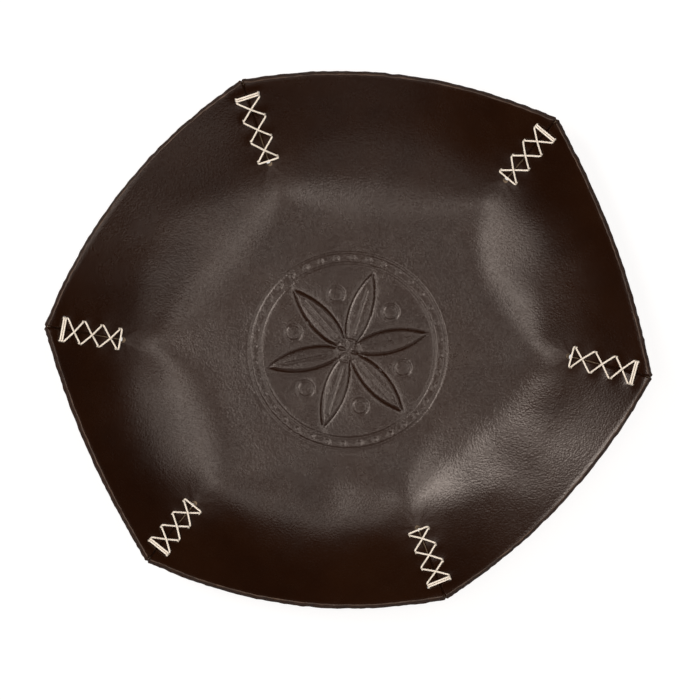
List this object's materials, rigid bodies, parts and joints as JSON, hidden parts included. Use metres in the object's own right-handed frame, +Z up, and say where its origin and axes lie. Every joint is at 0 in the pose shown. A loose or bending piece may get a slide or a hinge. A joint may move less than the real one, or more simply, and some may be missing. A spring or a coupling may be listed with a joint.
{
  "type": "dice tray",
  "caption": "Shallow many-cornered leather dish for rolling dice, raised by corner darts that are laced shut with crossed waxed thread.",
  "frame": {"origin": "under the middle of the floor, on the surface that the tray stands on", "axes": "+Z up out of the dish, +Y to the rear (up in the picture), +X to the right"},
  "size_m": [0.2559, 0.2267, 0.0294],
  "materials": {
    "leather": "dark brown vegetable-tanned leather, satin and slightly mottled",
    "thread": "cream waxed thread"
  },
  "bodies": {
    "root": {"leather_body": "leather", "thread_right": "thread", "thread_rear_right": "thread", "thread_rear_left": "thread", "thread_left": "thread", "thread_front_left": "thread", "thread_front_right": "thread"}
  },
  "joints": []
}
